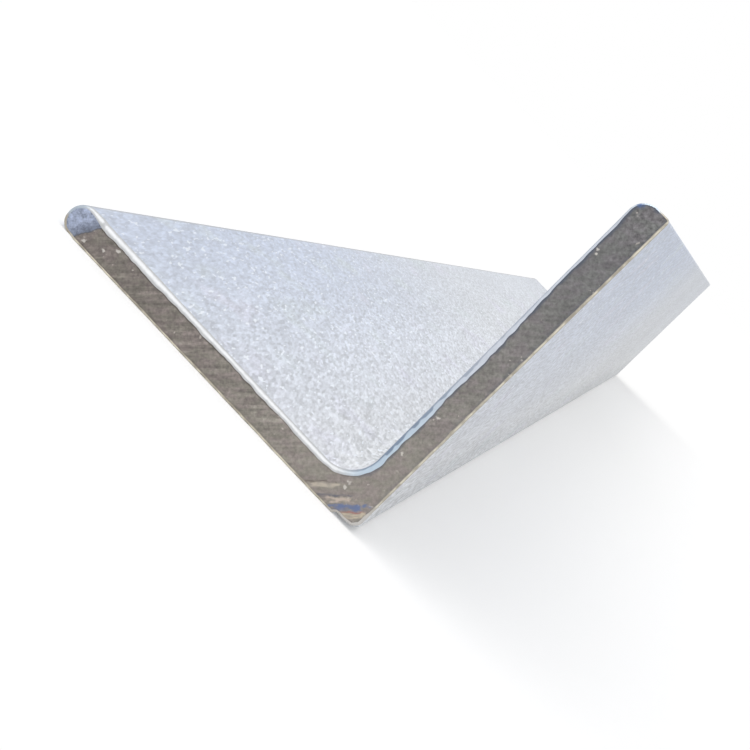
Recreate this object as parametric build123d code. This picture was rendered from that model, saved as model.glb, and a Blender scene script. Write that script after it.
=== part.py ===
"""Hot-rolled equal-leg steel angle, 100 x 100 x 8, sawn to a one metre length.

One rolled piece. It lies on the outer face of one leg with the other leg standing up, and its
length runs along Y. The origin is the middle of the bar's length and width, on the floor.
Lengths are in millimetres.

The bar is drawn from its front end, before it is put in that place: X runs from the heel along
the lying leg, Y up the standing leg and Z back along the bar.
"""

from build123d import *
import os

# Overall sizes
LENGTH = 1000.0
LYING_LEG = 100.0  # outer width of the leg that lies on the floor
STANDING_LEG = 100.0  # outer height of the leg that stands up

# Rolled section. Nominal thickness is 8: the legs leave the rolls a little thicker at the toes.
ROOT_THICKNESS = 7.7  # where the two inner faces would meet
TOE_THICKNESS = 8.4  # at the end of each leg, before its corners are rounded
ROOT_RADIUS = 8.5  # concave fillet between the inner faces
INNER_TOE_RADIUS = 4.5  # convex rounding where an inner face meets its toe
OUTER_TOE_RADIUS = 1.0  # slight rounding where an outer face meets its toe
HEEL_RADIUS = 2.0  # rounding of the outer corner

# Sawn ends
ARRIS = 0.4  # chamfer left by knocking the saw burr off both ends
INNER_ARRIS = 1.1  # wider bevel along the inner faces of the front end

# The saw fed through the front end from the toes to the heel, across both legs at once.
MISSED_TOE = 3.8  # how far from the lying toe's outer corner the blade first met the end
MISSED_DEPTH = 0.9  # how far the patch that it missed lies behind the sawn face
HEEL_CHIP = 1.8  # broken off the heel where the blade came out, from the sharp corner
HEEL_CHIP_LENGTH = 12.0  # back along the bar

# The last sliver tore away with some of the lying leg's outer face, next to the heel.
TEAR_DEPTH = 0.95
TEAR_REACH = 6.8  # along the leg, from the heel to the line that it tore along
TEAR_LENGTH = 9.0  # back along the bar

# A knock has rounded the lying toe's outer corner at the front end.
KNOCK_RADIUS = 3.2
KNOCK_LENGTH = 14.0

PAST = 2.0  # how far a cut reaches past the steel that it takes off

FEED = Vector(1, 1, 0).normalized()  # against the saw's feed, from the heel
BLADE = Vector(1, -1, 0).normalized()  # along the saw's blade, towards the lying toe


def round_corner(profile, corner, radius):
    """Rounds the vertex of the profile that lies at the corner point."""
    nearest = profile.vertices().sort_by_distance(corner)[0]
    return fillet(nearest, radius)


def rolled_section():
    """The section with its heel at the origin."""
    heel = (0, 0)
    root = (ROOT_THICKNESS, ROOT_THICKNESS)
    lying_outer = (LYING_LEG, 0)
    lying_inner = (LYING_LEG, TOE_THICKNESS)
    standing_outer = (0, STANDING_LEG)
    standing_inner = (TOE_THICKNESS, STANDING_LEG)
    outline = Polyline(
        heel, lying_outer, lying_inner, root, standing_inner, standing_outer, close=True
    )
    section = make_face(outline)
    section = round_corner(section, heel, HEEL_RADIUS)
    section = round_corner(section, root, ROOT_RADIUS)
    for inner_corner in (lying_inner, standing_inner):
        section = round_corner(section, inner_corner, INNER_TOE_RADIUS)
    for outer_corner in (lying_outer, standing_outer):
        section = round_corner(section, outer_corner, OUTER_TOE_RADIUS)
    return section


def break_arrises(bar):
    """Chamfers the edges round both sawn ends."""
    ends = bar.faces().filter_by(Axis.Z)
    return chamfer(ends.edges(), ARRIS)


def inner_bevel():
    """Steel off the front end's edge, along both inner faces and round the root fillet."""
    root = Vector(ROOT_THICKNESS, ROOT_THICKNESS)
    along_lying = Vector(LYING_LEG, TOE_THICKNESS) - root
    along_standing = Vector(TOE_THICKNESS, STANDING_LEG) - root
    past_toes = 1.5  # times each leg, so that the bevel runs out over both toes
    lying_end = root + along_lying * past_toes
    standing_end = root + along_standing * past_toes
    hollow = make_face(Polyline(root, lying_end, lying_end + standing_end - root, standing_end, close=True))
    hollow = round_corner(hollow, root, ROOT_RADIUS)
    return extrude(Pos(Z=-PAST) * offset(hollow, INNER_ARRIS + PAST), INNER_ARRIS + 2 * PAST, taper=45)


def missed_toe():
    """Steel off the lying toe that the blade never reached: the patch lies a little further back."""
    first_met = Vector(LYING_LEG, 0) - FEED * MISSED_TOE
    reach = 2 * TOE_THICKNESS
    patch = make_face(
        Polyline(
            first_met - BLADE * reach,
            first_met + BLADE * reach,
            first_met + BLADE * reach + FEED * reach,
            first_met - BLADE * reach + FEED * reach,
            close=True,
        )
    )
    return extrude(patch, MISSED_DEPTH, taper=45)


def corner_waste(radius, depth):
    """The outline of what comes off the lying toe's outer corner when it is rounded."""
    square = Pos(LYING_LEG, 0, depth) * Rectangle(2 * radius, 2 * radius)
    return square - Pos(LYING_LEG - radius, radius, depth) * Circle(radius)


def knocked_corner():
    """Steel off the lying toe's outer corner, fading out along the bar."""
    return loft([corner_waste(KNOCK_RADIUS, 0), corner_waste(OUTER_TOE_RADIUS / 2, KNOCK_LENGTH)], ruled=True)


def heel_chip():
    """Steel off the heel: a sloping flat that runs out along the bar."""
    outline = Polyline(
        (HEEL_CHIP, 0), (0, HEEL_CHIP_LENGTH), (-PAST, HEEL_CHIP_LENGTH), (-PAST, -PAST), (HEEL_CHIP, -PAST), close=True
    )
    along_feed = Plane(origin=(0, 0, 0), x_dir=FEED, z_dir=BLADE)
    return extrude(along_feed * make_face(outline), HEEL_CHIP + PAST, both=True)


def tear_outline(depth, back):
    """What is torn from the lying leg's outer face at a distance back along the bar."""
    outline = Polyline(
        (-PAST, -PAST), (TEAR_REACH + PAST, -PAST), (TEAR_REACH - depth, depth), (-PAST, depth), close=True
    )
    return Pos(Z=back) * make_face(outline)


def heel_tear():
    """Steel off the lying leg's outer face next to the heel, running out along the bar."""
    return loft([tear_outline(TEAR_DEPTH, 0), tear_outline(0, TEAR_LENGTH)], ruled=True)


def front_end():
    """Plane of the front end in the bar's own place, with its normal running back along the bar."""
    return Plane(origin=(LYING_LEG / 2, -LENGTH / 2, 0), x_dir=(-1, 0, 0), z_dir=(0, 1, 0))


def angle_section():
    bar = break_arrises(extrude(rolled_section(), LENGTH))
    for waste in (inner_bevel(), missed_toe(), knocked_corner(), heel_chip(), heel_tear()):
        bar -= waste
    return front_end() * bar


if __name__ == "__main__":
    os.makedirs("parts", exist_ok=True)
    bar = angle_section()
    bar.label = "angle_section"
    export_step(bar, "parts/angle_section.step")
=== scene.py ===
"""Steel angle section: the rolled and sawn bar's visible skin, its finishes, a white studio and the camera.

Lengths are in metres, in the part's own frame. The bar lies along Y on the floor with its heel at +X, one
leg lying towards -X and the other standing up. In a section, u runs from the heel along the lying leg and v
runs up the standing leg.
"""

import math

import bpy
import numpy as np
from mathutils import Matrix, Vector, noise


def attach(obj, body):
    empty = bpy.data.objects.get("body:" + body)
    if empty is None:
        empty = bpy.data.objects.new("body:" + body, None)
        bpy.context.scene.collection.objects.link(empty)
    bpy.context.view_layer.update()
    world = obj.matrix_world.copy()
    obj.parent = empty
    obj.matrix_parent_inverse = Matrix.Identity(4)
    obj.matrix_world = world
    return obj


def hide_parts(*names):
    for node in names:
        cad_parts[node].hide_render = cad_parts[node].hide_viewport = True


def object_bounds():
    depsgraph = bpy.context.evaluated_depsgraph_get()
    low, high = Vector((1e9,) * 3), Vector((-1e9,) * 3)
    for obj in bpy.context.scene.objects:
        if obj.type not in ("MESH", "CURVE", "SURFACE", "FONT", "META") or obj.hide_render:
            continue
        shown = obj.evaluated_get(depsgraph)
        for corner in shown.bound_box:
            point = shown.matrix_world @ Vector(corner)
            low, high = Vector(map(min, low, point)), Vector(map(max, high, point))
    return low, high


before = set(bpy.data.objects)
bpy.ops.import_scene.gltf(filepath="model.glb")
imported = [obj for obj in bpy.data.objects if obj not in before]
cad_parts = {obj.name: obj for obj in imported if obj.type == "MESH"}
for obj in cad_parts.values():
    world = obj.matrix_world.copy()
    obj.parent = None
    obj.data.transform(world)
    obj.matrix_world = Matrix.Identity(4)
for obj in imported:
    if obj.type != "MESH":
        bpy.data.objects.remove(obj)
CAD_LOW, CAD_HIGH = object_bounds()
NODE = "angle_section"
MM = 0.001

# Rolled section, as in the solid model
LEG = CAD_HIGH.x - CAD_LOW.x
HEEL_X = CAD_HIGH.x
FRONT_Y, BACK_Y = CAD_LOW.y, CAD_HIGH.y
LENGTH = BACK_Y - FRONT_Y
ROOT_THICKNESS = 7.7 * MM
TOE_THICKNESS = 8.4 * MM
ROOT_RADIUS = 8.5 * MM
INNER_TOE_RADIUS = 4.5 * MM
OUTER_TOE_RADIUS = 1.0 * MM
HEEL_RADIUS = 2.0 * MM

# Mesh density
CROSS_PITCH = 0.55 * MM  # between cross lines along a leg
TOE_STEPS = 10  # cross lines over a toe's rounding
ROOT_STEPS = 80  # cross lines round the root fillet
ACROSS = 20  # cells over the thickness of a sawn end
ARRIS_STEPS = 5  # segments round the arris of a sawn end
NEAR_RINGS = [3.0, 4.0, 6.0, 9.0, 14.0, 22.0]  # rings of the skin, in mm from a sawn end
MIDDLE_RINGS = 30

# Worn arrises round the sawn ends, as radii
ARRIS_LYING_INNER = 1.6 * MM
ARRIS_LYING_ROOT_SHARE = 0.75  # narrower on the lower half of the lying leg
ARRIS_STANDING_INNER = 0.65 * MM
ARRIS_ROOT_EXTRA = 0.85 * MM  # more round the root fillet and the lower half of the standing leg
ARRIS_TOE_SHARE = 0.5  # narrower round the toes
ARRIS_OUTER = 0.6 * MM
ARRIS_HEEL_EXTRA = 0.2 * MM
ARRIS_BACK = 0.5  # the back end's arrises, as a share of the front ones
ROOT_WEAR_TO, ROOT_WEAR_FADE = 44 * MM, 34 * MM  # from the heel: the root's wear runs to here, then fades
TOE_WEAR_FROM, TOE_WEAR_FADE = 9 * MM, 6 * MM  # from a leg's end: where the toe's wear starts, then grows
HEEL_WEAR_TO = 9 * MM  # from the heel: its extra wear has faded out here
ARRIS_SWELL, ARRIS_SWELL_SIZE = 0.15, 7 * MM  # share of the radius that it swells by, and a swell's length
ARRIS_BREAK, ARRIS_BREAK_SIZE = 0.21, 1.8 * MM  # the same for its short breaks
LEG_BLEND = 6 * MM  # either side of the diagonal, where one leg's wear and tint turn into the other's

# The saw's marks: it ran across both legs at once, from the toes to the heel
SAW_WAVE = 0.10 * MM
SAW_PITCH = 5.3 * MM
SAW_DRIFT, SAW_DRIFT_SIZE = 1.3, 30 * MM  # radians that the waves stray by, and over what distance
SAW_SCRATCH_SIZE, SAW_SCRATCH_STRETCH = 1.6 * MM, 12  # uneven scratches, drawn out the way the blade ran
SAW_FACET_FROM = 94.7 * MM  # from the heel along the lying leg: past it the toe was never cut
SAW_FACET_SLANT = 0.6  # how much nearer the heel that starts, per mm above the outer face
SAW_FACET_DEPTH = 0.9 * MM
SAW_FACET_RUN = 1.6 * MM
SAW_FACET_WAVER, SAW_FACET_WAVER_SIZE = 0.5 * MM, 3 * MM
HEEL_LEDGES = [(4.9 * MM, 0.16 * MM), (8.5 * MM, 0.10 * MM)]  # distance from the heel, drop of each ledge
LEDGE_RUN = 0.7 * MM
LEDGE_WAVER, LEDGE_WAVER_SIZE = 0.35 * MM, 2.5 * MM

# Local wear at the front end: the lying toe's outer corner is dubbed off, the heel's tip broken away and the
# lying leg's outer face torn next to it
TOE_DUB_RADIUS = 3.2 * MM
TOE_DUB_LENGTH = 14 * MM
HEEL_CHIP = 1.8 * MM  # from the heel's sharp corner, the way the saw fed
HEEL_CHIP_LENGTH = 12 * MM
HEEL_CHIP_WAVER, HEEL_CHIP_WAVER_SIZE = 0.2, 2.2 * MM  # share of the chip that its edge wavers by
TEAR_DEPTH = 0.95 * MM
TEAR_REACH = 6.8 * MM  # from the heel
TEAR_LENGTH = 9 * MM
TEAR_WAVER, TEAR_WAVER_SIZE = 0.3, 1.6 * MM

# Bright nicks in the front sawn face, in mm: place from the heel the way the saw fed, place the way its
# blade ran, and size
NICKS = [
    (10.7, -1.4, 0.6),
    (11.6, -0.4, 0.6),
    (18.5, 11.7, 0.5),
    (26.7, 19.7, 0.6),
    (63.6, 54.6, 0.42),
    (64.7, 54.9, 0.42),
    (63.9, -55.5, 0.6),
    (64.1, -59.2, 0.5),
    (66.6, -63.9, 0.7),
]
NICK_RAGGEDNESS = 1.8  # how far a spot's outline strays, as a share of its size

# A blue stain over the standing toe's inner corner, laid out as the nicks are
STAIN = (74.5, 64.1, 1.2)
STAIN_RAGGEDNESS = 0.8

# Unevenness of the rolled skin
SKIN_WAVE = 0.14 * MM
SKIN_SHORT_WAVE, SKIN_SHORT_STRETCH = 18 * MM, 8  # size across the bar, and how much longer it is along it
SKIN_LONG_WAVE, SKIN_LONG_STRETCH = 60 * MM, 2.5
SKIN_FADE_FROM, SKIN_FADE = 3 * MM, 10 * MM  # how far from a sawn end it starts, and its fading in

# The skin's marks, which the rolls drew out along the bar
ROLLED_STRETCH = (1, 5, 1)
GRAIN_CELLS = (0.8 * MM, 0.18)  # size and contrast
GRAIN_LAYERS = [(0.85 * MM, 0.32), (2.0 * MM, 0.09), (5.5 * MM, 0.06)]  # the same for each size of noise
SKIN_SLANT = 0.13  # how far the marks drift sideways, per length of bar
GREYER_FROM, GREYER_TO = 0.15, 0.55  # from the front end, where its bluish tint gives way to grey
END_BLEND = 0.1  # either side of the bar's middle, where the front end's finish turns into the back end's

# Bake layout: the skin's two halves over the two sawn ends
UV_GAP = 0.006
UV_ARRIS = 2.0 * MM  # length of skin that the arris takes up on the layout
UV_SKIN_FROM = 0.156


# ------------------------------------------------------------------ section outline
SLOPE = (TOE_THICKNESS - ROOT_THICKNESS) / (LEG - ROOT_THICKNESS)
TAPER = math.atan(SLOPE)
FILLET_CENTRE = ROOT_THICKNESS + ROOT_RADIUS / (math.cos(TAPER) - math.sin(TAPER))


def inner_face(u):
    """Height of a leg's inner face at distance u from the heel."""
    return ROOT_THICKNESS + SLOPE * (u - ROOT_THICKNESS)


def leg_cross_line(u):
    """Outer and inner point across the lying leg at distance u from the heel."""
    low, high = 0.0, inner_face(u)
    over = u - (LEG - OUTER_TOE_RADIUS)
    if over > 0:
        low = OUTER_TOE_RADIUS - math.sqrt(max(OUTER_TOE_RADIUS**2 - over**2, 0))
    start = LEG - INNER_TOE_RADIUS
    if u > start:
        middle = inner_face(start) - INNER_TOE_RADIUS
        high = middle + math.sqrt(max(INNER_TOE_RADIUS**2 - (u - start) ** 2, 0))
    return (u, low), (u, high)


def root_cross_line(turn):
    """Outer and inner point on a ray from the fillet's centre: turn 0 at the lying leg, 1 at the other."""
    angle = -math.pi / 2 + TAPER - turn * (math.pi / 2 + 2 * TAPER)
    du, dv = math.cos(angle), math.sin(angle)
    reach = min(FILLET_CENTRE / -d for d in (du, dv) if d < -1e-6)
    if FILLET_CENTRE + reach * max(du, dv) < HEEL_RADIUS:  # the ray leaves through the rounded heel
        gap = FILLET_CENTRE - HEEL_RADIUS
        along = -gap * (du + dv)
        reach = along + math.sqrt(along**2 - 2 * gap**2 + HEEL_RADIUS**2)
    outer = (FILLET_CENTRE + reach * du, FILLET_CENTRE + reach * dv)
    inner = (FILLET_CENTRE + ROOT_RADIUS * du, FILLET_CENTRE + ROOT_RADIUS * dv)
    return outer, inner


def cross_lines():
    """Outer and inner ends of the cross lines from the lying toe, round the root, to the standing toe."""
    toe = [LEG - INNER_TOE_RADIUS * (1 - math.cos(math.pi / 2 * k / TOE_STEPS)) for k in range(TOE_STEPS)]
    flat = LEG - INNER_TOE_RADIUS
    count = round((flat - FILLET_CENTRE) / CROSS_PITCH)
    shank = [flat + (FILLET_CENTRE - flat) * k / count for k in range(count)]
    lying = [leg_cross_line(u) for u in toe + shank]
    root = [root_cross_line(k / ROOT_STEPS) for k in range(ROOT_STEPS + 1)]
    standing = [(a[::-1], b[::-1]) for a, b in reversed(lying)]
    outer, inner = zip(*(lying + root + standing))
    return np.array(outer), np.array(inner)


def perimeter_cells(columns):
    """The (column, row) of each perimeter point of an end's grid.

    They go up the lying toe, along the inner faces, down the standing toe and back along the outer faces.
    """
    toe_up = [(0, row) for row in range(ACROSS)]
    inner = [(column, ACROSS) for column in range(columns)]
    toe_down = [(columns - 1, row) for row in range(ACROSS - 1, -1, -1)]
    outer = [(column, 0) for column in range(columns - 2, 0, -1)]
    return toe_up + inner + toe_down + outer


def unit(rows):
    return rows / np.linalg.norm(rows, axis=1)[:, None]


def outward_normals(loop):
    way = unit(np.roll(loop, -1, 0) - loop) + unit(loop - np.roll(loop, 1, 0))
    return unit(np.stack([way[:, 1], -way[:, 0]], 1))


# ------------------------------------------------------------------ wear, saw marks and unevenness
def wobble(u, v, y, size, seed):
    """Smooth noise of about -1 to 1, with features of the given size. Each seed gives other noise."""
    return noise.noise(Vector((u / size + seed * 7.31, v / size - seed * 3.17, y / size + seed * 1.73)))


def smooth(t):
    t = min(max(t, 0.0), 1.0)
    return t * t * (3 - 2 * t)


def arris_radius(u, v, nu, nv, seed):
    """Radius of the worn arris at a perimeter point with this outward normal."""
    inner = smooth((max(nu, nv) - 0.2) / 0.5)  # 1 on the inner faces, 0 on the outer ones
    standing = smooth((v - u) / (2 * LEG_BLEND) + 0.5)
    near_root = 1 - smooth((max(u, v) - ROOT_WEAR_TO) / ROOT_WEAR_FADE)
    on_standing = ARRIS_STANDING_INNER + ARRIS_ROOT_EXTRA * near_root
    on_lying = ARRIS_LYING_INNER * (1 - (1 - ARRIS_LYING_ROOT_SHARE) * near_root)
    radius = on_lying + (on_standing - on_lying) * standing
    radius *= 1 - (1 - ARRIS_TOE_SHARE) * smooth((max(u, v) - LEG + TOE_WEAR_FROM) / TOE_WEAR_FADE)
    outer = ARRIS_OUTER + ARRIS_HEEL_EXTRA * (1 - smooth((u + v) / HEEL_WEAR_TO))
    radius = outer + (radius - outer) * inner
    swell = ARRIS_SWELL * wobble(u, v, 0, ARRIS_SWELL_SIZE, seed)
    broken = ARRIS_BREAK * wobble(u, v, 0, ARRIS_BREAK_SIZE, seed + 5)
    return radius * (1 + swell + broken)


def worn_outline(u, v, d, seed=41):
    """Where an outline point lies at distance d from the front end."""
    radius = TOE_DUB_RADIUS + (OUTER_TOE_RADIUS - TOE_DUB_RADIUS) * smooth(d / TOE_DUB_LENGTH)
    du, dv = u - (LEG - radius), v - radius
    excess = math.hypot(du, dv) / radius
    if du > 0 and dv < 0 and excess > 1:
        u, v = LEG - radius + du / excess, radius + dv / excess
    chip = HEEL_CHIP * max(1 - d / HEEL_CHIP_LENGTH, 0)
    chip *= 1 + HEEL_CHIP_WAVER * wobble(u, v, d, HEEL_CHIP_WAVER_SIZE, seed)
    short = max(chip - (u + v) / math.sqrt(2), 0) / math.sqrt(2)
    u, v = u + short, v + short
    torn = TEAR_DEPTH * max(1 - d / TEAR_LENGTH, 0)
    torn *= 1 + TEAR_WAVER * wobble(u, v, d, TEAR_WAVER_SIZE, seed + 1)
    return u, max(v, min(torn, TEAR_REACH - u))


def saw_depth(u, v, front, seed):
    """How far the sawn surface lies inside the end plane."""
    fed = (u + v) / math.sqrt(2)
    run = (v - u) / math.sqrt(2)
    drift = SAW_DRIFT * wobble(u, v, 0, SAW_DRIFT_SIZE, seed)
    wave = 0.5 + 0.3 * math.sin(2 * math.pi * fed / SAW_PITCH + drift)
    wave += 0.3 * wobble(fed, run / SAW_SCRATCH_STRETCH, 0, SAW_SCRATCH_SIZE, seed + 2)
    depth = SAW_WAVE * max(wave, 0)
    for at, drop in HEEL_LEDGES:
        edge = at + LEDGE_WAVER * wobble(run, 0, 0, LEDGE_WAVER_SIZE, seed + at / MM)
        depth += drop * smooth((edge - fed) / LEDGE_RUN + 0.5)
    if front and u > v:
        edge = SAW_FACET_FROM + SAW_FACET_WAVER * wobble(run, 0, 0, SAW_FACET_WAVER_SIZE, seed + 3)
        depth += SAW_FACET_DEPTH * smooth((u + SAW_FACET_SLANT * v - edge) / SAW_FACET_RUN)
    return depth


def skin_offset(u, v, y, seed=3):
    """Inward offset of the rolled skin, which is never fully flat."""
    short = 0.5 + 0.5 * wobble(u, v, y / SKIN_SHORT_STRETCH, SKIN_SHORT_WAVE, seed)
    long = 0.5 + 0.5 * wobble(u, v, y / SKIN_LONG_STRETCH, SKIN_LONG_WAVE, seed + 1)
    return SKIN_WAVE * (0.4 * short + 0.6 * long)


# ------------------------------------------------------------------ the bar's mesh
def to_row(u, v, y):
    return HEEL_X - u, y, v


def ring_depths():
    """Distances of the skin's rings from the front end."""
    near = [d * MM for d in NEAR_RINGS]
    first, last = near[-1], LENGTH - near[-1]
    middle = [first + (last - first) * k / (MIDDLE_RINGS + 1) for k in range(1, MIDDLE_RINGS + 1)]
    return near + middle + [LENGTH - d for d in reversed(near)]


class Bar:
    """The bar's vertices and faces, with each face's finish and its corners' places on the bake layout."""

    def __init__(self):
        self.outer, self.inner = cross_lines()
        self.columns = len(self.outer)
        self.cells = perimeter_cells(self.columns)
        share = np.array([row / ACROSS for _, row in self.cells])[:, None]
        column = [c for c, _ in self.cells]
        self.loop = self.outer[column] * (1 - share) + self.inner[column] * share
        self.verts, self.faces, self.finish, self.places = [], [], [], []
        self.edge_gap = {}  # distance of each point of a sawn face from the face's edge

    def add_points(self, points):
        start = len(self.verts)
        self.verts.extend(points)
        return list(range(start, start + len(points)))

    def add_face(self, corners, which, places):
        self.faces.append([int(c) for c in corners])
        self.finish.append(which)
        self.places.extend(places)

    def sawn_end(self, front, seed):
        """Adds one sawn end's points and its arris's. Returns the grid's numbers and the arris's rings."""
        plane, way = (FRONT_Y, 1) if front else (BACK_Y, -1)
        wear = 1.0 if front else ARRIS_BACK
        loop = np.array([worn_outline(u, v, 0 if front else LENGTH) for u, v in self.loop])
        normal = outward_normals(loop)
        radius = np.array([[arris_radius(*p, *n, seed) * wear] for p, n in zip(loop, normal)])
        inset = loop - normal * radius
        depth = np.array([saw_depth(u, v, front, seed) for u, v in inset])[:, None]

        grid = np.zeros((self.columns, ACROSS + 1), int)
        edge = dict(zip(self.cells, inset))
        for c in range(self.columns):
            for r in range(ACROSS + 1):
                share = r / ACROSS
                u, v = edge.get((c, r), edge[c, 0] * (1 - share) + edge[c, ACROSS] * share)
                grid[c, r] = self.add_points([to_row(u, v, plane + way * saw_depth(u, v, front, seed))])[0]

        rings = [[grid[cell] for cell in self.cells]]
        rim = np.array([self.verts[number] for number in rings[0]])
        for number in grid.ravel():
            self.edge_gap[number] = np.linalg.norm(rim - self.verts[number], axis=1).min()
        for k in range(1, ARRIS_STEPS + 1):
            turn = math.pi / 2 * k / ARRIS_STEPS
            place = loop - normal * radius * (1 - math.sin(turn))
            behind = depth + radius * (1 - math.cos(turn))
            ring = [to_row(u, v, plane + way * d) for (u, v), (d,) in zip(place, behind)]
            rings.append(self.add_points(ring))
        return grid, rings

    def skin_ring(self, d):
        """Adds one ring of the rolled skin, at distance d from the front end."""
        y = FRONT_Y + d
        uneven = smooth((min(d, LENGTH - d) - SKIN_FADE_FROM) / SKIN_FADE)
        loop = np.array([worn_outline(u, v, d) for u, v in self.loop])
        off = np.array([[uneven * skin_offset(u, v, y)] for u, v in loop])
        return self.add_points([to_row(u, v, y) for u, v in loop - outward_normals(loop) * off])

    def cover_sides(self, rings, runs, finishes):
        """Joins rings along the bar. The layout shows the front and back halves side by side."""
        ahead = np.linalg.norm(np.roll(self.loop, -1, 0) - self.loop, axis=1)
        walk = np.concatenate([[0], np.cumsum(ahead)])
        across = (1 - 3 * UV_GAP) / 2
        walk = walk / walk[-1] * across
        middle = min(range(len(runs)), key=lambda r: abs(runs[r] - LENGTH / 2))
        scale = (1 - UV_GAP - UV_SKIN_FROM) / max(runs[middle], LENGTH - runs[middle])
        for r in range(len(rings) - 1):
            behind = r >= middle
            left = UV_GAP + behind * (across + UV_GAP)
            low, high = (UV_SKIN_FROM + scale * (runs[i] - behind * runs[middle]) for i in (r, r + 1))
            for k in range(len(self.loop)):
                n = (k + 1) % len(self.loop)
                a, b = left + walk[k], left + walk[k + 1]
                places = [(a, low), (b, low), (b, high), (a, high)]
                corners = (rings[r][k], rings[r][n], rings[r + 1][n], rings[r + 1][k])
                self.add_face(corners, finishes[r], places)

    def cover_end(self, grid, front):
        """Closes a sawn end. The layout shows it unrolled from toe to toe."""
        middle = (self.outer + self.inner) / 2
        ahead = np.linalg.norm(np.diff(middle, axis=0), axis=1)
        walk = np.concatenate([[0], np.cumsum(ahead)])
        scale = (1 - 2 * UV_GAP) / walk[-1]
        thick = np.linalg.norm(self.outer - self.inner, axis=1) * scale
        centre = UV_SKIN_FROM * (0.25 if front else 0.75)  # the front end goes below the back one
        for c in range(self.columns - 1):
            for r in range(ACROSS):
                cells = [(c, r), (c, r + 1), (c + 1, r + 1), (c + 1, r)]
                if front:
                    cells.reverse()
                places = [
                    (UV_GAP + walk[i] * scale, centre + thick[i] * (j / ACROSS - 0.5))
                    for i, j in cells
                ]
                self.add_face([grid[cell] for cell in cells], SAWN_FACE, places)


ROLLED_SKIN, SAWN_FACE, WORN_ARRIS_AND_REFLECTIONS = range(3)
FRONT_SEED, BACK_SEED = 11, 23


def build_bar():
    shape = Bar()
    front_grid, front_arris = shape.sawn_end(True, FRONT_SEED)
    back_grid, back_arris = shape.sawn_end(False, BACK_SEED)
    depths = ring_depths()
    rings = front_arris + [shape.skin_ring(d) for d in depths] + back_arris[::-1]
    arris_runs = [UV_ARRIS * k / ARRIS_STEPS for k in range(ARRIS_STEPS + 1)]
    runs = arris_runs + depths + [LENGTH - run for run in reversed(arris_runs)]
    arris = [WORN_ARRIS_AND_REFLECTIONS] * ARRIS_STEPS
    shape.cover_sides(rings, runs, arris + [ROLLED_SKIN] * (len(depths) + 1) + arris)
    shape.cover_end(front_grid, True)
    shape.cover_end(back_grid, False)

    mesh = bpy.data.meshes.new("rolled_angle")
    mesh.from_pydata(shape.verts, [], shape.faces)
    mesh.polygons.foreach_set("material_index", shape.finish)
    mesh.polygons.foreach_set("use_smooth", [True] * len(shape.faces))
    gap = mesh.attributes.new("edge_gap", "FLOAT", "POINT")
    gap.data.foreach_set("value", [shape.edge_gap.get(number, 0.0) for number in range(len(shape.verts))])
    layout = mesh.uv_layers.new(name="OFBake")
    layout.uv.foreach_set("vector", np.array(shape.places, np.float32).ravel())
    mesh.update()
    return mesh


# ------------------------------------------------------------------ shader helpers
def add(tree, kind, inputs=(), **settings):
    """Adds a shader node. Inputs, by name or number, are sockets to link or values to set."""
    node = tree.nodes.new("ShaderNode" + kind)
    for name, value in settings.items():
        setattr(node, name, value)
    for name, value in dict(inputs).items():
        if isinstance(value, bpy.types.NodeSocket):
            tree.links.new(value, node.inputs[name])
        else:
            node.inputs[name].default_value = value
    return node


def maths(tree, operation, *values):
    return add(tree, "Math", enumerate(values), operation=operation).outputs[0]


def times(tree, *values):
    result = values[0]
    for value in values[1:]:
        result = maths(tree, "MULTIPLY", result, value)
    return result


def fade(tree, value, low, high, start=0.0, end=1.0):
    """Smooth step of a value between low and high, from start to end."""
    inputs = {"Value": value, "From Min": low, "From Max": high, "To Min": start, "To Max": end}
    return add(tree, "MapRange", inputs, interpolation_type="SMOOTHSTEP").outputs[0]


def band(tree, value, low, high, soft):
    """1 between low and high, 0 outside, with soft edges."""
    rising = fade(tree, value, low - soft, low + soft)
    falling = fade(tree, value, high - soft, high + soft, 1, 0)
    return times(tree, rising, falling)


def around(tree, middle, value, strength):
    """Adds to middle how far a value is from 0.5, times strength."""
    return maths(tree, "MULTIPLY_ADD", maths(tree, "SUBTRACT", value, 0.5), strength, middle)


def blend(tree, factor, first, second, mode="MIX"):
    return add(tree, "Mix", {0: factor, 6: first, 7: second}, data_type="RGBA", blend_type=mode).outputs[2]


def blend_values(tree, factor, first, second):
    return add(tree, "Mix", {0: factor, 2: first, 3: second}, data_type="FLOAT").outputs[0]


def shade(tree, colour, value, low, high):
    """Multiplies a colour by low where value is 0 and by high where it is 1."""
    factor = maths(tree, "MULTIPLY_ADD", value, high - low, low)
    grey = add(tree, "CombineColor", {0: factor, 1: factor, 2: factor}).outputs[0]
    return blend(tree, 1.0, colour, grey, "MULTIPLY")


def scaled(tree, coords, size, stretch):
    """Coordinates that advance by 1 over the given size, stretched along each axis."""
    scale = tuple(1 / (size * s) for s in stretch)
    return add(tree, "Mapping", {"Vector": coords, "Scale": scale}).outputs[0]


def cloud(tree, coords, size, detail=2.0, stretch=(1, 1, 1), roughness=0.5):
    """Noise from 0 to 1, with features of the given size stretched along each axis."""
    placed = scaled(tree, coords, size, stretch)
    inputs = {"Vector": placed, "Scale": 1.0, "Detail": detail, "Roughness": roughness}
    return add(tree, "TexNoise", inputs).outputs["Fac"]


def flecks(tree, coords, size, least=0.70, stretch=(1, 1, 1)):
    """1 on sparse irregular flecks of about the given size. They are the tops of a noise over least."""
    return fade(tree, cloud(tree, coords, size, 1.0, stretch), least, least + 0.06)


def spangle(tree, coords, size, stretch=(1, 1, 1)):
    """Soft cells of about the given size, each of its own brightness from 0 to 1."""
    inputs = {"Vector": scaled(tree, coords, size, stretch), "Scale": 1.0, "Smoothness": 0.5}
    cells = add(tree, "TexVoronoi", inputs, feature="SMOOTH_F1").outputs["Color"]
    return add(tree, "SeparateColor", {0: cells}).outputs[0]


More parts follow.
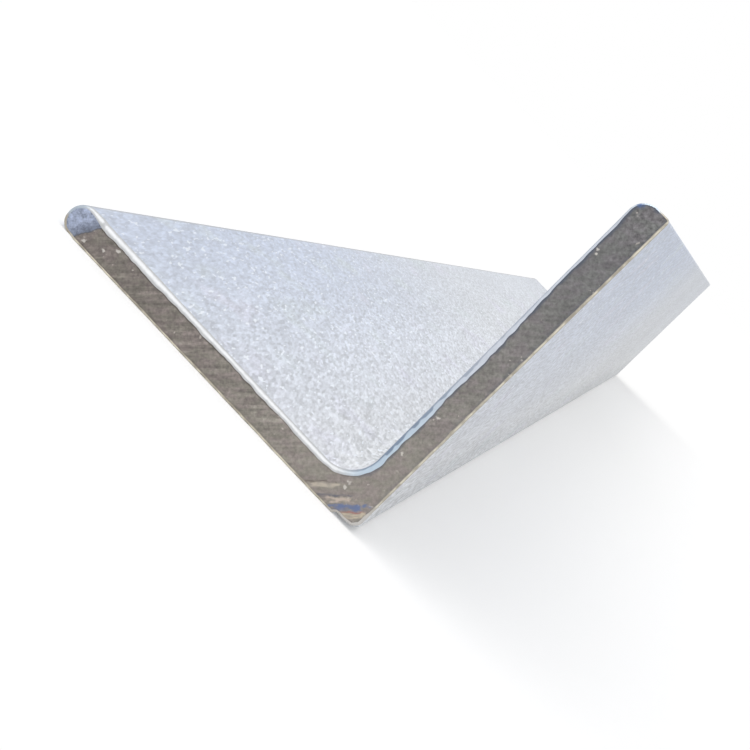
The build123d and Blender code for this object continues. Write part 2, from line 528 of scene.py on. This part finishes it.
class Places:
    """The coordinates that the finishes are laid out on."""

    def __init__(self, tree):
        self.object = add(tree, "TexCoord").outputs["Object"]
        x, self.y, self.v = add(tree, "SeparateXYZ", {0: self.object}).outputs
        drift = maths(tree, "MULTIPLY_ADD", self.y, SKIN_SLANT, x)
        self.rolled = add(tree, "CombineXYZ", {0: drift, 1: self.y, 2: self.v}).outputs[0]
        self.front = fade(tree, self.y, END_BLEND, -END_BLEND)  # 1 at the front end, 0 at the back one
        self.u = maths(tree, "SUBTRACT", HEEL_X, x)
        self.reach = maths(tree, "MAXIMUM", self.u, self.v)  # from the heel along either leg
        self.from_outer = maths(tree, "MINIMUM", self.u, self.v)  # into the steel from the outer faces
        rise = maths(tree, "SUBTRACT", self.v, self.u)
        self.standing = fade(tree, rise, -LEG_BLEND, LEG_BLEND)  # 1 on the standing leg, 0 on the lying one
        self.fed = times(tree, maths(tree, "ADD", self.u, self.v), math.sqrt(0.5))  # the way the saw fed
        self.run = times(tree, rise, math.sqrt(0.5))  # the way its blade ran
        self.saw = add(tree, "CombineXYZ", {0: self.run, 1: self.fed, 2: self.y}).outputs[0]

        # Into the steel from the inner faces and the root fillet
        gap_u = maths(tree, "MAXIMUM", maths(tree, "SUBTRACT", FILLET_CENTRE, self.u), 0.0)
        gap_v = maths(tree, "MAXIMUM", maths(tree, "SUBTRACT", FILLET_CENTRE, self.v), 0.0)
        ray = add(tree, "CombineXYZ", {0: gap_u, 1: gap_v})
        reach = add(tree, "VectorMath", {0: ray.outputs[0]}, operation="LENGTH").outputs["Value"]
        past_fillet = maths(tree, "MAXIMUM", maths(tree, "SUBTRACT", self.reach, FILLET_CENTRE), 0.0)
        taper = times(tree, past_fillet, SLOPE)
        self.from_inner = maths(tree, "ADD", maths(tree, "SUBTRACT", reach, ROOT_RADIUS), taper)


def new_material(name, metallic=0.0):
    material = bpy.data.materials.new(name)
    material.use_nodes = True
    tree = material.node_tree
    tree.nodes.clear()
    shader = add(tree, "BsdfPrincipled", {"Metallic": metallic})
    add(tree, "OutputMaterial", {0: shader.outputs[0]})
    return material, tree, shader


def finish(tree, shader, colour, roughness, height, depth):
    """Gives a shader its patterns. A height of 1 stands depth metres over a height of 0."""
    tree.links.new(colour, shader.inputs["Base Color"])
    tree.links.new(roughness, shader.inputs["Roughness"])
    bump = add(tree, "Bump", {"Strength": 1.0, "Distance": depth, "Height": height})
    tree.links.new(bump.outputs[0], shader.inputs["Normal"])


# ------------------------------------------------------------------ colours
def rgb(red, green, blue):
    return (red, green, blue, 1.0)


WHITE = rgb(1, 1, 1)

# Rolled skin
ZINC_ROOT = rgb(0.670, 0.69, 0.73)
ZINC_TOES = rgb(0.545, 0.60, 0.72)
# Painted reflected light: the skin is painted whiter along the root fillet
FILLET_REFLECTED_LIGHT = rgb(0.705, 0.72, 0.745)
ZINC_BACK = rgb(0.665, 0.68, 0.69)
ZINC_LILAC = rgb(0.66, 0.66, 0.76)
ZINC_GREEN = rgb(0.60, 0.66, 0.68)
# Painted glints: bright flecks laid into the skin's colour
PAINTED_GLINT = rgb(0.88, 0.92, 0.98)
ZINC_TOE_EDGE = rgb(0.29, 0.29, 0.28)

# Sawn faces. The mottle's two colours multiply what is under them.
SAWN_HEEL = rgb(0.302, 0.274, 0.250)
SAWN_LYING_TOE = rgb(0.214, 0.190, 0.173)
SAWN_STANDING_TOE = rgb(0.180, 0.177, 0.181)
SAWN_FLECK = rgb(0.62, 0.57, 0.52)
MOTTLE_GREEN = rgb(0.98, 1.01, 0.97)
MOTTLE_PINK = rgb(1.02, 0.99, 1.015)
NICK = rgb(0.62, 0.59, 0.55)
# Painted shadow: the dark lines along the sawn faces' edges
EDGE_LYING = rgb(0.075, 0.065, 0.050)
EDGE_STANDING = rgb(0.095, 0.11, 0.145)
# Painted sky reflection: the blue of the lying toe's patch that the saw missed
PATCH_BLUE = rgb(0.225, 0.255, 0.335)
STAIN_ON_SAWN = rgb(0.10, 0.15, 0.29)
STRAW = rgb(0.66, 0.58, 0.44)
RUST_RED = rgb(0.42, 0.18, 0.16)
TEMPER_BLUE = rgb(0.13, 0.19, 0.37)
TAN = rgb(0.62, 0.52, 0.45)
DARK_BLUE = rgb(0.13, 0.14, 0.18)
DULL_TAN = rgb(0.56, 0.50, 0.42)
DARK_BROWN = rgb(0.16, 0.13, 0.11)

# Worn arrises, their colours partly painted reflections, highlights and shadow
RIM_LYING = rgb(0.54, 0.55, 0.56)
# Painted highlight: the lying toe's bluish arris tint
RIM_LYING_TOE = rgb(0.42, 0.49, 0.57)
# Painted sky reflection: the pale blue and lilac bands on the standing leg's arris
RIM_PALE_BLUE = rgb(0.54, 0.65, 0.76)
RIM_LILAC = rgb(0.64, 0.68, 0.76)
# Painted dark reflection: the slate line on the standing leg's arris
RIM_SLATE = rgb(0.19, 0.25, 0.35)
# Painted highlight: the standing toe's pale blue arris tint
RIM_STANDING_TOE = rgb(0.60, 0.70, 0.80)
# Painted shadow: the brown of the outer arrises; painted highlight: their pale beaded line
RIM_OUTER = rgb(0.44, 0.40, 0.33)
RIM_BEAD = rgb(0.84, 0.79, 0.66)
RIM_HEEL = rgb(0.62, 0.60, 0.58)
RIM_BACK = rgb(0.50, 0.47, 0.40)
STAIN_ON_RIM = rgb(0.13, 0.20, 0.40)

# Bands of tint that the saw left on the heel as it broke through, in mm: from and to the way it fed, and
# from and to the way its blade ran
HEEL_MARKS = [
    (3.5, 4.7, -2.8, 2.7, STRAW),
    (4.7, 5.1, -2.8, 2.4, RUST_RED),
    (5.2, 6.7, -5.6, 3.4, TEMPER_BLUE),
    (7.1, 8.3, -5.9, 0.2, TAN),
    (8.5, 9.0, -7.7, 0.4, DARK_BLUE),
    (10.5, 11.5, -11.0, -2.6, DULL_TAN),
    (11.5, 12.0, -11.4, -5.4, DARK_BROWN),
]


# ------------------------------------------------------------------ rolled skin
def zinc_colour_and_fillet_light(tree, at):
    """Bluish zinc, whiter at the root and greyer towards the back end, with soft lilac and green patches."""
    colour = blend(tree, fade(tree, at.reach, 10 * MM, LEG), ZINC_ROOT, ZINC_TOES)
    # Painted reflected light: whiter along the root fillet, fading out past it
    colour = blend(tree, fade(tree, at.reach, 12 * MM, 34 * MM), FILLET_REFLECTED_LIGHT, colour)
    greyer = fade(tree, at.y, FRONT_Y + GREYER_FROM, FRONT_Y + GREYER_TO, 0, 0.6)
    colour = blend(tree, greyer, colour, ZINC_BACK)
    patches = cloud(tree, at.object, 16 * MM, stretch=(1, 2, 1))
    colour = blend(tree, fade(tree, patches, 0.55, 0.75, 0, 0.5), colour, ZINC_LILAC)
    return blend(tree, fade(tree, patches, 0.45, 0.25, 0, 0.5), colour, ZINC_GREEN)


def rolled_grain(tree, at):
    """Fine cells and three sizes of noise about 0.5. The rolls drew each out along the bar."""
    size, contrast = GRAIN_CELLS
    grain = around(tree, 0.5, spangle(tree, at.rolled, size, ROLLED_STRETCH), contrast)
    for size, contrast in GRAIN_LAYERS:
        layer = cloud(tree, at.rolled, size, 1.0, ROLLED_STRETCH, 0.6)
        grain = around(tree, grain, layer, contrast)
    return grain


def rolled_skin():
    material, tree, shader = new_material("rolled_skin", metallic=0.45)
    at = Places(tree)
    grain = rolled_grain(tree, at)
    # Painted glints: sparse bright flecks, drawn out along the bar
    glint_flecks = flecks(tree, at.rolled, 1.1 * MM, 0.65, ROLLED_STRETCH)
    mottle = cloud(tree, at.object, 34 * MM, 3.0, (1, 3, 1))
    streaks = cloud(tree, at.object, 2.6 * MM, 2.0, (1, 45, 1))
    lively = fade(tree, at.reach, LEG, LEG - 60 * MM, 0.7, 1.0)  # its marks are fainter towards the toes

    colour = shade(tree, zinc_colour_and_fillet_light(tree, at), around(tree, 0.5, grain, lively), 0.0, 2.0)
    colour = shade(tree, colour, mottle, 0.90, 1.10)
    colour = shade(tree, colour, streaks, 0.96, 1.04)
    colour = blend(tree, times(tree, glint_flecks, lively, 0.8), colour, PAINTED_GLINT)
    near_toe = fade(tree, at.reach, LEG - 4.0 * MM, LEG - 2.4 * MM, 0, 0.70)
    near_inner = fade(tree, at.from_outer, 2.0 * MM, 5.0 * MM)
    colour = blend(tree, times(tree, near_toe, near_inner), colour, ZINC_TOE_EDGE)

    least = fade(tree, at.reach, 12 * MM, 24 * MM, 0.44, 0.30)  # duller round the root fillet
    roughness = maths(tree, "MULTIPLY_ADD", grain, 0.35, least)
    finish(tree, shader, colour, roughness, grain, depth=0.08 * MM)
    return material


# ------------------------------------------------------------------ sawn faces
def spot(tree, at, fed, run, size, raggedness):
    """0.9 at a place on the front sawn face, fading to 0 at the given size. Both are in mm."""
    place = (run * MM, fed * MM, FRONT_Y)
    size *= MM
    gap = add(tree, "VectorMath", {0: at.saw, 1: place}, operation="DISTANCE").outputs["Value"]
    gap = around(tree, gap, cloud(tree, at.saw, 0.6 * MM, 0.0), raggedness * size)
    return fade(tree, gap, 0.3 * size, size, 0.9, 0)


def sawn_colour(tree, at):
    """Warm and light round the heel, cooler and darker towards the toes, mottled with green and pink."""
    toes = blend(tree, at.standing, SAWN_LYING_TOE, SAWN_STANDING_TOE)
    colour = blend(tree, fade(tree, at.reach, 5 * MM, 85 * MM), SAWN_HEEL, toes)
    tint = cloud(tree, at.saw, 1.6 * MM, 1.0, (2, 1, 1))
    mottle = blend(tree, fade(tree, tint, 0.35, 0.65), MOTTLE_GREEN, MOTTLE_PINK)
    return blend(tree, 1.0, colour, mottle, "MULTIPLY")


def scores(tree, at, colour, calm):
    """Light and dark scores from the saw's teeth, bolder on the lying leg."""
    pattern = cloud(tree, at.saw, 1.1 * MM, 0.0, (16, 1, 1))
    strength = times(tree, blend_values(tree, at.standing, 1.0, 0.35), calm)
    colour = shade(tree, colour, times(tree, fade(tree, pattern, 0.62, 0.74), strength), 1.0, 1.22)
    return shade(tree, colour, times(tree, fade(tree, pattern, 0.38, 0.26), strength), 1.0, 0.84)


def sawn_grain(tree, at, colour, grain):
    """Fine grain, fainter round the heel and bolder at the standing toe, under wide soft patches."""
    from_heel = fade(tree, at.reach, 12 * MM, 40 * MM, 0.65, 1.0)
    at_toe = fade(tree, at.v, 86 * MM, 96 * MM, 0, 0.5)
    strength = maths(tree, "ADD", from_heel, at_toe)
    colour = shade(tree, colour, around(tree, 0.5, grain, strength), 0.40, 1.60)
    return shade(tree, colour, cloud(tree, at.saw, 9 * MM, 2.0), 0.93, 1.07)


def heel_marks(tree, at, colour):
    """The bands of tint on the heel, streaky and with wavering edges."""
    fed = around(tree, at.fed, cloud(tree, at.saw, 1.6 * MM, 2.0), 1.4 * MM)
    run = around(tree, at.run, cloud(tree, at.saw, 1.0 * MM, 0.0), 7 * MM)
    streak = fade(tree, cloud(tree, at.saw, 0.8 * MM, 1.0, (3, 1, 1)), 0.35, 0.60, 0.35, 1.0)
    for low, high, left, right, tint in HEEL_MARKS:
        along_feed = band(tree, fed, low * MM, high * MM, 0.28 * MM)
        along_blade = band(tree, run, left * MM, right * MM, 1.4 * MM)
        colour = blend(tree, times(tree, along_feed, along_blade, streak, at.front, 0.85), colour, tint)
    return colour


def edge_shadow_lines(tree, at, colour):
    """A dark line along the sawn face's inner edge, slate on the standing leg, and a fainter outer one."""
    # Painted shadow: dark lines standing for shade along the sawn face's edges
    gap = add(tree, "Attribute", attribute_name="edge_gap").outputs["Fac"]
    width = blend_values(tree, at.standing, 0.45 * MM, 1.0 * MM)
    width = times(tree, width, fade(tree, cloud(tree, at.saw, 3 * MM, 1.0), 0.35, 0.65, 0.5, 1.15))
    inner = fade(tree, at.from_outer, 2.5 * MM, 3.5 * MM, 0.35, 1.0)
    lying_strength = fade(tree, at.reach, 15 * MM, 45 * MM, 0.3, 0.9)
    standing_strength = fade(tree, at.reach, 15 * MM, 75 * MM, 0.65, 1.05)
    clear = blend_values(tree, at.standing, lying_strength, standing_strength)
    strength = times(tree, fade(tree, gap, 0.1 * MM, width, 1, 0), inner, clear, 0.95)
    return blend(tree, strength, colour, blend(tree, at.standing, EDGE_LYING, EDGE_STANDING))


def missed_toe_sky_reflection(tree, at, colour):
    """The lying toe's patch that the saw missed, in a painted bluish sky reflection, paler at its tip."""
    along = maths(tree, "MULTIPLY_ADD", at.v, SAW_FACET_SLANT, at.u)
    border = around(tree, along, cloud(tree, at.saw, 2.5 * MM), 2 * MM)
    patch = fade(tree, border, SAW_FACET_FROM, SAW_FACET_FROM + 0.6 * MM)
    patch = times(tree, patch, at.front, maths(tree, "SUBTRACT", 1.0, at.standing))
    grain = cloud(tree, at.saw, 0.9 * MM, 2.0, roughness=0.7)
    blue = shade(tree, PATCH_BLUE, grain, 0.0, 2.0)
    blue = shade(tree, blue, fade(tree, along, SAW_FACET_FROM, SAW_FACET_FROM + 5 * MM), 0.75, 1.6)
    # Painted shade: darker along the patch's border, where the facet steps down
    seam = times(tree, patch, maths(tree, "SUBTRACT", 1.0, patch), 4.0)  # 1 halfway over the patch's border
    return shade(tree, blend(tree, patch, colour, blue), seam, 1.0, 0.6)


def sawn_face():
    material, tree, shader = new_material("sawn_face", metallic=0.45)
    at = Places(tree)
    grain = cloud(tree, at.saw, 0.75 * MM, 1.5, roughness=0.6)
    calm = fade(tree, at.reach, 14 * MM, 34 * MM, 0.35, 1.0)  # the saw's lines are fainter round the heel
    line_strength = times(tree, blend_values(tree, at.standing, 0.55, 0.35), calm)
    lines = around(tree, 0.5, cloud(tree, at.saw, 0.75 * MM, 1.0, (5, 1, 1)), line_strength)

    colour = shade(tree, sawn_colour(tree, at), lines, 0.35, 1.65)
    colour = shade(tree, colour, cloud(tree, at.saw, 3.2 * MM, 2.0, (7, 1, 1)), 0.94, 1.06)
    colour = scores(tree, at, colour, calm)
    colour = sawn_grain(tree, at, colour, grain)
    light = times(tree, flecks(tree, at.saw, 1.3 * MM, 0.70), flecks(tree, at.saw, 9 * MM, 0.50))
    colour = blend(tree, times(tree, light, 0.7), colour, SAWN_FLECK)
    colour = heel_marks(tree, at, colour)
    colour = edge_shadow_lines(tree, at, colour)
    colour = missed_toe_sky_reflection(tree, at, colour)
    for nick in NICKS:
        colour = blend(tree, spot(tree, at, *nick, NICK_RAGGEDNESS), colour, NICK)
    colour = blend(tree, spot(tree, at, *STAIN, STAIN_RAGGEDNESS), colour, STAIN_ON_SAWN)

    roughness = maths(tree, "MULTIPLY_ADD", grain, 0.25, 0.40)
    height = maths(tree, "MULTIPLY_ADD", lines, 0.7, times(tree, grain, 0.3))
    finish(tree, shader, colour, roughness, height, depth=0.12 * MM)
    return material


# ------------------------------------------------------------------ worn arrises, with painted reflections and shade
def standing_rim(tree, at):
    """Pale blue turning lilac, with a slate line next to the skin that swells and thins towards the toe."""
    # Painted reflections: pale blue and lilac for the sky, the slate line for a dark reflection
    slate_to = times(
        tree,
        fade(tree, at.reach, 11 * MM, 18 * MM, 0.40 * MM, 0.70 * MM),
        fade(tree, at.reach, 40 * MM, 75 * MM, 1.0, 0.2),
        fade(tree, cloud(tree, at.object, 3.2 * MM, 1.0), 0.38, 0.60, 0.5, 1.15),
    )
    past_slate = maths(tree, "SUBTRACT", at.from_inner, slate_to)
    strength = fade(tree, at.reach, 24 * MM, 50 * MM, 1.0, 0.6)
    slate = times(tree, fade(tree, past_slate, -0.12 * MM, 0.22 * MM, 0.85, 0), strength)
    pale = blend(tree, fade(tree, at.reach, 20 * MM, 50 * MM), RIM_PALE_BLUE, RIM_LILAC)
    return blend(tree, slate, pale, RIM_SLATE)


def inner_rim(tree, at):
    """Nearly white on the lying leg and blue on the standing one, each with a tint of its own at the toe."""
    # Painted sky reflection on the standing leg's rim, and painted highlights in the toes' tints
    colour = blend(tree, at.standing, RIM_LYING, standing_rim(tree, at))
    toe = fade(tree, at.reach, LEG - 4.5 * MM, LEG - 1.5 * MM, 0, 0.85)
    colour = blend(tree, toe, colour, blend(tree, at.standing, RIM_LYING_TOE, RIM_STANDING_TOE))
    return blend(tree, spot(tree, at, *STAIN, STAIN_RAGGEDNESS), colour, STAIN_ON_RIM)


def outer_rim(tree, at):
    """Brown with a beaded pale line along its middle, and greyer on the heel."""
    # Painted shadow in the brown, painted highlight in the beaded pale line along its middle
    beads = fade(tree, cloud(tree, at.object, 2.4 * MM, 2.0), 0.32, 0.66)
    core = band(tree, at.from_outer, 0.12 * MM, 0.48 * MM, 0.12 * MM)
    colour = blend(tree, times(tree, core, beads), RIM_OUTER, RIM_BEAD)
    return blend(tree, fade(tree, at.fed, 8 * MM, 3 * MM), colour, RIM_HEEL)


def worn_arris_and_reflections():
    material, tree, shader = new_material("worn_arris_and_reflections", metallic=0.5)
    at = Places(tree)
    grain = cloud(tree, at.object, 0.9 * MM, 2.0)
    wear = cloud(tree, at.object, 2.2 * MM, 2.0)

    # Mostly painted reflections, highlights and shadow along the arrises, over their wear
    near_inner = fade(tree, at.from_outer, 2.2 * MM, 4.0 * MM)
    colour = blend(tree, near_inner, outer_rim(tree, at), inner_rim(tree, at))
    colour = shade(tree, colour, wear, 0.88, 1.08)
    colour = blend(tree, at.front, RIM_BACK, colour)
    colour = shade(tree, colour, grain, 0.94, 1.06)

    roughness = maths(tree, "MULTIPLY_ADD", grain, 0.3, 0.25)
    finish(tree, shader, colour, roughness, grain, depth=0.08 * MM)
    return material


bar = bpy.data.objects.new("rolled_angle", build_bar())
bpy.context.scene.collection.objects.link(bar)
for material in (rolled_skin(), sawn_face(), worn_arris_and_reflections()):
    bar.data.materials.append(material)
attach(bar, "root")
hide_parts(NODE)


# ------------------------------------------------------------------ studio
FLOOR_HALF_SIDE = 30
FLOOR_WHITE = rgb(0.88, 0.88, 0.88)
FLOOR_GLOW = 0.2  # lifts the floor to white where nothing shades it
SKY_FILL = 0.42  # how strongly the sky lights, as a share of how bright it looks
KEY_TOWARDS = (0.25, 0.45, -1.0)  # the way its light travels
KEY_STRENGTH = 1.8
KEY_SPREAD = math.radians(70)


def seen(tree):
    """1 for rays that look at the background, directly or in a reflection, and 0 for rays that light."""
    path = add(tree, "LightPath").outputs
    straight = maths(tree, "MAXIMUM", path["Is Camera Ray"], path["Is Glossy Ray"])
    return maths(tree, "MAXIMUM", straight, path["Is Transmission Ray"])


def floor():
    s = FLOOR_HALF_SIDE
    mesh = bpy.data.meshes.new("floor")
    mesh.from_pydata([(-s, -s, 0), (s, -s, 0), (s, s, 0), (-s, s, 0)], [], [(0, 1, 2, 3)])
    material, tree, shader = new_material("floor_white")
    shader.inputs["Base Color"].default_value = FLOOR_WHITE
    shader.inputs["Roughness"].default_value = 1.0
    shader.inputs["Specular IOR Level"].default_value = 0.0
    shader.inputs["Emission Color"].default_value = WHITE
    tree.links.new(times(tree, seen(tree), FLOOR_GLOW), shader.inputs["Emission Strength"])
    mesh.materials.append(material)
    ground = bpy.data.objects.new("floor", mesh)
    bpy.context.scene.collection.objects.link(ground)


def sky():
    """A white world, seen at full strength and lighting at that of the fill."""
    world = bpy.data.worlds.new("studio")
    world.use_nodes = True
    tree = world.node_tree
    level = maths(tree, "MULTIPLY_ADD", seen(tree), 1 - SKY_FILL, SKY_FILL)
    tree.links.new(level, tree.nodes["Background"].inputs["Strength"])
    tree.nodes["Background"].inputs["Color"].default_value = WHITE
    bpy.context.scene.world = world


def key_light():
    data = bpy.data.lights.new("key", "SUN")
    data.energy = KEY_STRENGTH
    data.angle = KEY_SPREAD
    lamp = bpy.data.objects.new("key", data)
    lamp.rotation_mode = "QUATERNION"
    lamp.rotation_quaternion = Vector(KEY_TOWARDS).to_track_quat("-Z", "Y")
    bpy.context.scene.collection.objects.link(lamp)


# ------------------------------------------------------------------ camera
# It looks along the bar from just outside the standing leg, rolled so that the heel points down
EYE_DISTANCE = 0.400  # in front of the sawn end
EYE_RIGHT, EYE_UP = 83.0 * MM, 51.6 * MM  # from the heel, with the heel pointing straight down
FOCAL_PIXELS = 950.7
FRAME_PIXELS = 750
AIM_PIXELS = (-184.7, -36.6)  # the frame's centre from the vanishing point of the bar's length, right and up
ROLL = math.radians(0.5)
ZOOM = 1.9
SENSOR_WIDTH = 36  # mm
CLIP_NEAR, CLIP_FAR = 0.02, 100

RIGHT = Vector((1, 0, 1)).normalized()
UP = Vector((-1, 0, 1)).normalized()
AHEAD = Vector((0, 1, 0))


def camera():
    data = bpy.data.cameras.new("camera")
    data.sensor_width = SENSOR_WIDTH
    data.lens = SENSOR_WIDTH * FOCAL_PIXELS * ZOOM / FRAME_PIXELS
    data.clip_start, data.clip_end = CLIP_NEAR, CLIP_FAR
    eye = Vector((HEEL_X, FRONT_Y - EYE_DISTANCE, 0)) + RIGHT * EYE_RIGHT + UP * EYE_UP
    look = AHEAD * FOCAL_PIXELS + RIGHT * AIM_PIXELS[0] + UP * AIM_PIXELS[1]
    back = -look.normalized()
    side = UP.cross(back).normalized()
    turn = Matrix((side, back.cross(side), back)).transposed().to_4x4() @ Matrix.Rotation(ROLL, 4, "Z")
    cam = bpy.data.objects.new("camera", data)
    cam.matrix_world = Matrix.Translation(eye) @ turn
    bpy.context.scene.collection.objects.link(cam)
    bpy.context.scene.camera = cam


floor()
sky()
key_light()
camera()
bpy.context.scene.view_settings.view_transform = "Standard"
